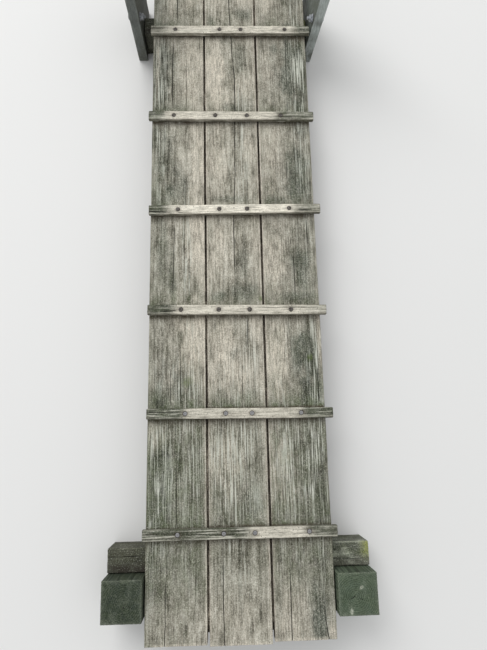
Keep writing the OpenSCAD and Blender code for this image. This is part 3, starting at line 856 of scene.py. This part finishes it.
def buildScrews():
    lift = battenRow["height"] - screwLook["sink"] - screwLook["domeHeight"]
    points = [battenPlace(k) @ Vector((x, 0, lift)) for k in range(battenRow["count"]) for x in screwXs(k)]
    mesh = bpy.data.meshes.new("screwPoints")
    mesh.from_pydata(points, [], [])
    source = placed("screwPoints", mesh)
    material, slot = metalMaterial("dullScrew", "screw_metal", screwMetal)
    tree = screwTree(material)
    modifier = source.modifiers.new("screwHeads", "NODES")
    modifier.node_group = tree
    for item in tree.interface.items_tree:
        if item.in_out == "INPUT" and item.name in screwSockets:
            modifier[item.identifier] = screwLook[screwSockets[item.name]]
    piece = plainCopy(source, "battenScrews")
    piece.data.materials.clear()
    piece.data.materials.append(material)
    finishPiece(piece, ["batten_screws_" + str(k + 1) for k in range(battenRow["count"])])
    print("screws", len(points))


def plainCopy(source, name):
    graph = bpy.context.evaluated_depsgraph_get()
    mesh = bpy.data.meshes.new_from_object(source.evaluated_get(graph), depsgraph=graph)
    mesh.name = name
    bpy.data.objects.remove(source)
    return placed(name, mesh)


# sills and near posts

greenFinish = dict(
    deckFinish, fibre=0.5, streak=0.4, patch=0.8, speck=0.6, late=0.05,
    tones=[(0.1, (0.02, 0.023, 0.016)), (0.3, (0.052, 0.062, 0.043)), (0.5, (0.105, 0.125, 0.085)),
           (0.7, (0.17, 0.19, 0.145)), (0.9, (0.32, 0.34, 0.28))],
    dark=(0.45, 0.45, 0.42), pale=(0.36, 0.4, 0.33), ridge=(0.4, 0.42, 0.34),
    algae=(0.075, 0.1, 0.03), algaeLight=(0.26, 0.3, 0.13), moss=(0.19, 0.25, 0.05),
    grimeAndShade=(0.04, 0.035, 0.026), lichen=(0.4, 0.44, 0.36), dots=0.35, pits=0.5, rough=(0.9, 0.65),
    shine=0.35,
)
sillFinish = dict(
    greenFinish, fibre=0.35, streak=0.15, patch=1.6, speck=1.3, dots=0.62, late=0.0,
    tones=[(0.1, (0.022, 0.024, 0.017)), (0.3, (0.065, 0.07, 0.053)), (0.5, (0.14, 0.147, 0.115)),
           (0.7, (0.26, 0.265, 0.215)), (0.9, (0.46, 0.46, 0.39))],
    lichen=(0.58, 0.61, 0.49), pale=(0.48, 0.5, 0.4), moss=(0.3, 0.32, 0.07),
)
sillLook = {"edge": 3 * mm, "relief": 0.8 * mm, "wear": 1.8 * mm, "steps": (2.6 * mm, 4 * mm, 3 * mm),
            "crackReach": 14 * mm}
postFinish = dict(
    greenFinish, patch=0.5, speck=0.35, late=0.45, dots=0.12, pits=0.2, pale=(0.4, 0.42, 0.34),
    tones=[(0.1, (0.022, 0.032, 0.019)), (0.3, (0.05, 0.074, 0.046)), (0.5, (0.077, 0.106, 0.068)),
           (0.7, (0.115, 0.148, 0.1)), (0.9, (0.2, 0.235, 0.17))],
)
postLook = {"edge": 3 * mm, "relief": 0.5 * mm, "wear": 1.5 * mm, "steps": (1.7 * mm, 4 * mm, 1.7 * mm),
            "check": {"length": 0.03, "width": 0.8 * mm, "depth": 3 * mm}}
# how light each post is, the left one darker as painted shade, and its chips of lost paint: across, along,
# half widths, strength, millimetres
posts = {
    "left": {"side": -1, "tint": 0.44, "flakes": []},
    "right": {"side": 1, "tint": 1.05,
              "flakes": [(9, 16, 5, 4, 1.0), (7, 12, 4, 3, 0.8), (-18, -38, 3.5, 8, 1.0)]},
}


def sillMarks(moss):
    def dress(p, normal, surface):
        upper = ease(0.3, 0.9, normal[:, 2])
        tip = surface["half"][1] - p[:, 1]
        spots = noiseAt(p, (50, 40, 50), 402)
        bare = ease(0.0, 0.6, noiseAt(p, (90, 60, 90), 405)) * upper
        # the left end is darker than the right: painted shade over the same wood, and it is greener too
        right = 0.2 + 0.8 * ease(-0.1, 0.1, p[:, 1])
        left = 1 - right
        # a painted highlight along the far arris of the top, with its wear
        farEdgeHighlight = ease(0.006, 0.001, p[:, 0] + surface["half"][0]) * upper
        algae = moss * (0.1 + 0.25 * upper * ease(-0.2, 0.6, spots)) + 0.3 * ease(0.02, -0.04, p[:, 2])
        grimeAndShade = 0.1 + 0.35 * ease(-0.01, -0.04, p[:, 2]) + 0.5 * ease(0.0, 0.02, p[:, 0]) * upper
        worn = 0.5 * surface["onEdge"] * upper * ease(-0.3, 0.5, spots) + 0.8 * farEdgeHighlight + 0.8 * bare
        return {"algae": algae + 0.3 * left, "grimeAndShade": grimeAndShade + 0.7 * left, "pale": right * worn,
                "moss": moss * upper * ease(0.03, 0.004, tip) * ease(0.028, -0.01, p[:, 0]),
                # the sides darker as painted shade, and the left end darker as painted shade
                "dark": 0.3 * ease(0.1, 0.7, surface["broad"]) + 0.5 * (1 - upper) + 1.3 * left,
                "ridges": 0.15 * upper}
    return dress


def buildSills():
    for index, word in enumerate(("near", "far")):
        middle, size = boxOf(word + "_sill")
        rings = {"pithX": 0.012, "pithZ": -0.015, "sway": 0.006, "swayRate": 2, "spacing": 0.005,
                 "seed": 90 + index, "knots": [(0.01, -0.27 + 0.4 * index, 0.009)]}
        cracks = [crack([(-8, -330), (-9, -210)], 1.3, 6, 1, 32 + index, 0.02, 0.5),
                  crack([(12, 200), (13, 330)], 1.0, 4, 1, 34 + index, 0.4, 0.02)]
        cut = dict(sillLook, size=(size[1], size[0], size[2]), rings=rings, cracks=cracks, seed=95 + index)
        lay = Matrix.Translation(middle) @ Matrix.Rotation(-math.pi / 2, 4, "Z")
        material = timberMaterial("greenSill_" + str(index), "green_timber", sillFinish,
                                  turn=(0, 0, math.pi / 2), shift=(0.4 * index, 0.7, 0))
        carveTimber(word + "Sill", cut, lay, material, [word + "_sill"], sillMarks(1.0 - 0.5 * index))


def postMarks(flakes):
    # in the post's own frame Y is up
    def dress(p, normal, surface):
        top = ease(0.5, 0.9, normal[:, 1])
        ragged = layeredNoise(p[:, 0] * 120, p[:, 2] * 120, 0.5, 133, 3)
        bare = stains(p[:, 0], -p[:, 2], flakes, ragged)
        foot = ease(-0.03, -0.07, p[:, 1])
        worn = ease(0.1, 0.6, noiseAt(p, (30, 45, 18), 131))
        return {"algae": 0.1 + 0.35 * foot, "grimeAndShade": 0.05 + 0.5 * foot, "ridges": 0.1,
                "pale": 0.35 * surface["onEdge"] * (0.4 + 0.6 * top) + 0.22 * worn * top + bare * top,
                # sides darker than the top: painted shade
                "dark": 0.2 * (1 - top) + 0.25 * ease(0.0, 0.8, surface["broad"])}
    return dress


def buildPosts():
    for word, post in posts.items():
        side = post["side"]
        node = "near_" + word + "_post"
        middle, size = boxOf(node)
        pith = (-0.006 * side, 0.004)
        rings = {"pithX": pith[0], "pithZ": pith[1], "sway": 0.002, "swayRate": 3, "spacing": 0.0046,
                 "seed": 120 + side, "knots": []}
        checks = [dict(postLook["check"], angle=angle) for angle in (0.5, 2.2 + 0.5 * side)]
        for check in checks:
            check["from"] = pith
        cut = dict(postLook, size=(size[0], size[2], size[1]), rings=rings, seed=130 + side, cracks=[],
                   endChecks=checks)
        stand = Matrix.Translation(middle) @ Matrix.Rotation(math.pi / 2, 4, "X")
        # the tint gives lit and shaded copies of one green paint: painted light
        material = timberMaterial("greenPost_" + word, "green_timber", tintedFinish(postFinish, post["tint"]),
                                  turn=(-math.pi / 2, 0, 0), shift=(0.3, 0.2 * side, 0.5))
        carveTimber(word + "Post", cut, stand, material, [node], postMarks(post["flakes"]))


# side boards at the far end

boardLook = {"edge": 3 * mm, "relief": 0.35 * mm, "wear": 1.4 * mm, "thick": 30 * mm, "wide": 184 * mm,
             "inset": 60 * mm, "rise": 300 * mm, "steps": (3 * mm, 5 * mm, 3 * mm), "crackReach": 14 * mm,
             "knothole": {"inner": 1.2 * mm, "outer": 3 * mm, "depth": 4 * mm}, "knotholeIn": 26 * mm,
             "knotholeUp": 130 * mm}
# space to the deck, lean in degrees, how light the board and its bolt are; one paint and one metal on both
# sides, lit on the right and shaded on the left, so the tints, pales, near face highlight and inner face
# shade are painted light
boards = {
    "left": {"side": -1, "space": 34 * mm, "lean": 1, "tint": 0.38, "pale": (0.3, 0.32, 0.3),
             "nearHighlight": 0.25, "innerShade": 1.0, "boltPaintedLight": 0.7},
    "right": {"side": 1, "space": 16 * mm, "lean": 4, "tint": 1.4, "pale": (0.46, 0.5, 0.48),
              "nearHighlight": 1.0, "innerShade": 0.5, "boltPaintedLight": 1.3},
}
boardFinish = dict(
    deckFinish, fibre=0.5, streak=0.5, patch=0.8, speck=0.3, late=0.02,
    tones=[(0.1, (0.07, 0.08, 0.072)), (0.3, (0.115, 0.13, 0.12)), (0.5, (0.165, 0.186, 0.172)),
           (0.7, (0.2, 0.223, 0.21)), (0.9, (0.27, 0.29, 0.27))],
    dark=(0.4, 0.41, 0.38), ridge=(0.27, 0.3, 0.27), algae=(0.06, 0.07, 0.042),
    algaeLight=(0.13, 0.15, 0.095), grimeAndShade=(0.05, 0.045, 0.037), lichen=(0.36, 0.39, 0.35), dots=0.12,
    pits=0.4, rough=(0.75, 0.5), shine=0.4, bump=0.3, paleGrain=(0.9, 1.1),
)
boltLook = {
    "rise": 38 * mm, "edge": 18 * mm, "diameter": 10 * mm, "headDiameter": 20 * mm, "headHeight": 4.5 * mm,
    "hexCorners": 19 * mm, "nutThick": 8 * mm, "washer": 24 * mm, "washerThick": 2.5 * mm, "tail": 6 * mm,
    # the last entry is the reach of the painted shadow and dirt round each bolt
    "bevel": 1.4 * mm, "pitch": 1.5 * mm, "threadDepth": 0.8 * mm, "dirtAndShade": 19 * mm,
}
boltMetal = {
    "tones": [(0.35, (0.14, 0.15, 0.16)), (0.5, (0.3, 0.32, 0.34)), (0.7, (0.5, 0.52, 0.56))],
    "scale": 160, "spot": (0.22, 0.15, 0.1), "rough": (0.65, 0.4), "metal": 0.4,
    "clean": (0.5, 0.5, 0.52), "cleaner": (-1.0, -2.0),
}


def boardPlace(board):
    # frame of a side board: X outwards from its inner face, Z up from the deck
    side = board["side"]
    y = deckEnd - boardLook["inset"] - boardLook["wide"] / 2
    origin = Matrix.Translation((side * (deckHalfWidth + board["space"]), y, deckTop))
    return origin @ Matrix.Rotation(math.radians(side * board["lean"]), 4, "Y")


def boardMarks(board):
    boltX = boltLook["edge"] - boardLook["wide"] / 2
    boltY = boltLook["rise"] - (boardLook["rise"] - deckTop) / 2

    def dress(p, normal, surface):
        low = ease(-0.05, -0.2, p[:, 1])
        # the inner face, turned to the deck, gets painted shade and the near face a painted highlight
        inner = ease(0.5, 0.9, normal[:, 2])
        nearFace = ease(-0.5, -0.9, normal[:, 0])
        flaked = ease(0.3, 0.6, noiseAt(p, (30, 18, 30), 165 + board["side"]))
        # a dark ring round the bolt on the board: painted shadow of the bolt, with dirt
        ring = np.exp(-(((p[:, 0] - boltX) ** 2 + (p[:, 1] - boltY) ** 2) / boltLook["dirtAndShade"] ** 2) ** 2)
        pale = 0.6 * surface["onEdge"] + 0.3 * surface["end"] + 0.2 * flaked
        pale = pale + board["nearHighlight"] * nearFace
        return {"algae": 0.15 + 0.5 * low + 0.25 * flaked + 0.3 * inner, "pale": pale,
                "grimeAndShade": 0.05 + 0.4 * low + 0.2 * inner + 0.9 * ring,
                "dark": board["innerShade"] * inner + 0.4 * flaked * low, "ridges": 0.2 * flaked}
    return dress


def buildBoards():
    height = deckTop + boardLook["rise"]
    hole = dict(boardLook["knothole"], x=boardLook["knotholeIn"] - boardLook["wide"] / 2,
                y=boardLook["knotholeUp"])
    for word, board in boards.items():
        side = board["side"]
        rings = {"pithX": 0.03, "pithZ": -0.05, "sway": 0.01, "swayRate": 3, "spacing": 0.006,
                 "seed": 150 + side, "knots": [(-0.03, 0.09, 0.008)]}
        cut = dict(boardLook, size=(boardLook["wide"], height, boardLook["thick"]), rings=rings,
                   seed=160 + side, holes=[hole],
                   cracks=[crack([(20, 80), (22, 216)], 1.3, 5, 1, 41 + side, 0.4, 0.02)])
        # grain up, width along the bridge, upper face of the cut turned to the deck
        axes = Matrix(((0, 0, -side), (1, 0, 0), (0, 1, 0))).to_4x4()
        middle = Matrix.Translation((side * boardLook["thick"] / 2, 0, (boardLook["rise"] - deckTop) / 2))
        # lit and shaded copies of one paint: painted light
        material = timberMaterial("sideBoard_" + word, "side_board_timber",
                                  tintedFinish(boardFinish, board["tint"], pale=board["pale"]),
                                  turn=(-math.pi / 2, 0, 0), shift=(0.5, side, 0.2))
        piece = carveTimber(word + "SideBoard", cut, boardPlace(board) @ middle @ axes, material,
                            [word + "_side_board"], boardMarks(board))
        levelFoot(piece)


def levelFoot(piece):
    # nothing of a leaning board reaches below the ground
    points = np.empty(len(piece.data.vertices) * 3, dtype=np.float32)
    piece.data.vertices.foreach_get("co", points)
    points[2::3] = np.maximum(points[2::3], 0)
    piece.data.vertices.foreach_set("co", points)


def turned(profile, segments, hexCorners=None, thread=None):
    # closed outline of (radius, height) swept round Z; a hexagon or a thread bends its rim
    angles = np.linspace(0, 2 * math.pi, segments, endpoint=False)
    points, faces = [], []
    for radius, z in profile:
        for angle in angles:
            r = radius
            if hexCorners:
                fold = (angle + math.pi / 6) % (math.pi / 3) - math.pi / 6
                r = min(radius, 0.5 * hexCorners * math.cos(math.pi / 6) / math.cos(fold))
            if thread and radius == thread["radius"]:
                turns = (z / thread["pitch"] - angle / (2 * math.pi)) % 1.0
                r = radius - thread["depth"] * abs(2 * turns - 1)
            points.append((r * math.cos(angle), r * math.sin(angle), z))
    for ring in range(len(profile) - 1):
        for k in range(segments):
            a, b = ring * segments + k, ring * segments + (k + 1) % segments
            faces.append((a, b, b + segments, a + segments))
    return points, faces


def buildBolts():
    half = boltLook["diameter"] / 2
    washer = boltLook["washer"] / 2
    thick = boltLook["washerThick"]
    headRadius, headHeight = boltLook["headDiameter"] / 2, boltLook["headHeight"]
    rim, bevel, nutTop = boltLook["hexCorners"] / 2, boltLook["bevel"], thick + boltLook["nutThick"]
    tailTop = nutTop + boltLook["tail"]
    disc = [(0.0, 0.0), (washer - 0.4 * mm, 0.0), (washer, 0.4 * mm), (washer, thick - 0.5 * mm),
            (washer - 0.5 * mm, thick), (half, thick), (0.0, thick)]
    nut = [(0.0, thick), (rim - bevel, thick), (rim, thick + bevel * 0.5), (rim, nutTop - bevel * 0.5),
           (rim - bevel, nutTop), (rim * 0.55, nutTop), (0.0, nutTop)]
    threaded = [(half, z) for z in np.linspace(thick, tailTop - 1 * mm, 48)]
    tail = [(0.0, thick)] + threaded + [(half * 0.75, tailTop), (0.0, tailTop)]
    thread = {"pitch": boltLook["pitch"], "depth": boltLook["threadDepth"], "radius": half}
    shank = [(0.0, -boardLook["thick"]), (half, -boardLook["thick"]), (half, 0.0), (0.0, 0.0)]
    dome = [(0.0, 0.0), (headRadius - 0.3 * mm, 0.0)]
    for t in np.linspace(0.05, 1, 12) * math.pi / 2:
        dome.append((headRadius * math.cos(t), headHeight * math.sin(t)))
    for word, board in boards.items():
        side = board["side"]
        # lit and shaded copies of one metal: painted light
        metal = tintedFinish(boltMetal, board["boltPaintedLight"])
        material = metalMaterial("galvanisedBolt_" + word, "bolt_metal", metal)
        place = boardPlace(board)
        y = -boardLook["wide"] / 2 + boltLook["edge"]
        inwards = Matrix.Rotation(-side * math.pi / 2, 4, "Y")
        outwards = Matrix.Rotation(side * math.pi / 2, 4, "Y")
        inner = place @ Matrix.Translation((0, y, boltLook["rise"])) @ inwards
        outer = place @ Matrix.Translation((side * boardLook["thick"], y, boltLook["rise"])) @ outwards
        spun = inner @ Matrix.Rotation(0.35 * side, 4, "Z")
        nutParts = [(turned(disc, 40), inner), (turned(nut, 60, boltLook["hexCorners"]), spun)]
        boltParts = [(turned(dome, 40), outer), (turned(tail, 32, thread=thread), inner),
                     (turned(shank, 24), outer)]
        joinParts(word + "BoltNut", nutParts, material, [word + "_bolt_nut"])
        joinParts(word + "SideBolt", boltParts, material, [word + "_side_bolt"])


def joinParts(name, parts, material, nodes):
    points, faces = [], []
    for (partPoints, partFaces), place in parts:
        first = len(points)
        points += [place @ Vector(point) for point in partPoints]
        faces += [tuple(first + k for k in face) for face in partFaces]
    mesh = bpy.data.meshes.new(name)
    mesh.from_pydata(points, [], faces)
    cleanMesh(mesh)
    mesh.shade_smooth()
    mesh.materials.append(material[0])
    finishPiece(placed(name, mesh), nodes)
    print("metal", name, len(mesh.polygons), "faces")


def cleanMesh(mesh):
    # poles closed, faces outwards, sharp edges kept sharp
    work = bmesh.new()
    work.from_mesh(mesh)
    bmesh.ops.remove_doubles(work, verts=work.verts, dist=0.00002)
    bmesh.ops.dissolve_degenerate(work, edges=work.edges, dist=0.00001)
    bmesh.ops.recalc_face_normals(work, faces=work.faces)
    for edge in work.edges:
        if len(edge.link_faces) == 2 and edge.calc_face_angle() > math.radians(32):
            edge.smooth = False
    work.to_mesh(mesh)
    work.free()


# floor, light and camera

stageLook = {"floor": (0.78, 0.775, 0.76), "reach": 60, "skyColour": (0.97, 0.985, 1.0), "sky": 0.75,
             "keyPower": 300, "keySize": 4.8, "keyAt": (-2.6, 4.6, 5.8)}
cameraLook = {"focal": 525, "imageHeight": 650, "x": -36, "y": -486.5, "aboveDeck": 1366,
              "pitch": 12.3, "roll": -2.15, "yaw": -1.3}


def buildStage():
    reach = stageLook["reach"]
    mesh = bpy.data.meshes.new("floor")
    mesh.from_pydata([(-reach, -reach, 0), (reach, -reach, 0), (reach, reach, 0), (-reach, reach, 0)], [],
                     [(0, 1, 2, 3)])
    material, tree, shader = newMaterial("paleFloor")
    feedAll(tree, shader, {"Base Color": stageLook["floor"], "Roughness": 0.95, "Specular IOR Level": 0.1})
    mesh.materials.append(material)
    floor = placed("floor", mesh)
    # the backdrop that the camera sees is as bright as the far floor
    world = bpy.data.worlds.new("softSky")
    scene.world = world
    world.use_nodes = True
    tree = world.node_tree
    shade = [a * b for a, b in zip(stageLook["skyColour"], stageLook["floor"])]
    sky = tree.nodes["Background"]
    feedAll(tree, sky, {"Color": stageLook["skyColour"], "Strength": stageLook["sky"]})
    backdrop = addNode(tree, "ShaderNodeBackground", Color=shade, Strength=stageLook["sky"])
    seen = addNode(tree, "ShaderNodeLightPath").outputs["Is Camera Ray"]
    choice = addNode(tree, "ShaderNodeMixShader")
    feedAll(tree, choice, {0: seen, 1: sky.outputs[0], 2: backdrop.outputs[0]})
    feed(tree, tree.nodes["World Output"].inputs[0], choice.outputs[0])
    lamp = bpy.data.lights.new("windowLight", "AREA")
    lamp.energy = stageLook["keyPower"]
    lamp.size = stageLook["keySize"]
    key = placed("windowLight", lamp)
    key.location = stageLook["keyAt"]
    key.visible_camera = False
    key.rotation_euler = (-Vector(stageLook["keyAt"])).to_track_quat("-Z", "Y").to_euler()


def buildCamera():
    data = bpy.data.cameras.new("viewFromAbove")
    data.sensor_fit = "VERTICAL"
    data.sensor_height = 36
    data.lens = data.sensor_height * cameraLook["focal"] / cameraLook["imageHeight"]
    camera = placed("viewFromAbove", data)
    camera.location = (cameraLook["x"] * mm, cameraLook["y"] * mm, deckTop + cameraLook["aboveDeck"] * mm)
    camera.rotation_euler = [math.radians(cameraLook[k]) for k in ("pitch", "roll", "yaw")]
    scene.camera = camera
    scene.view_settings.view_transform = "Standard"


buildCamera()
buildStage()
buildPlanks()
buildSeamDirt()
buildBattens()
buildScrews()
buildSills()
buildPosts()
buildBoards()
buildBolts()
print("all pieces made")
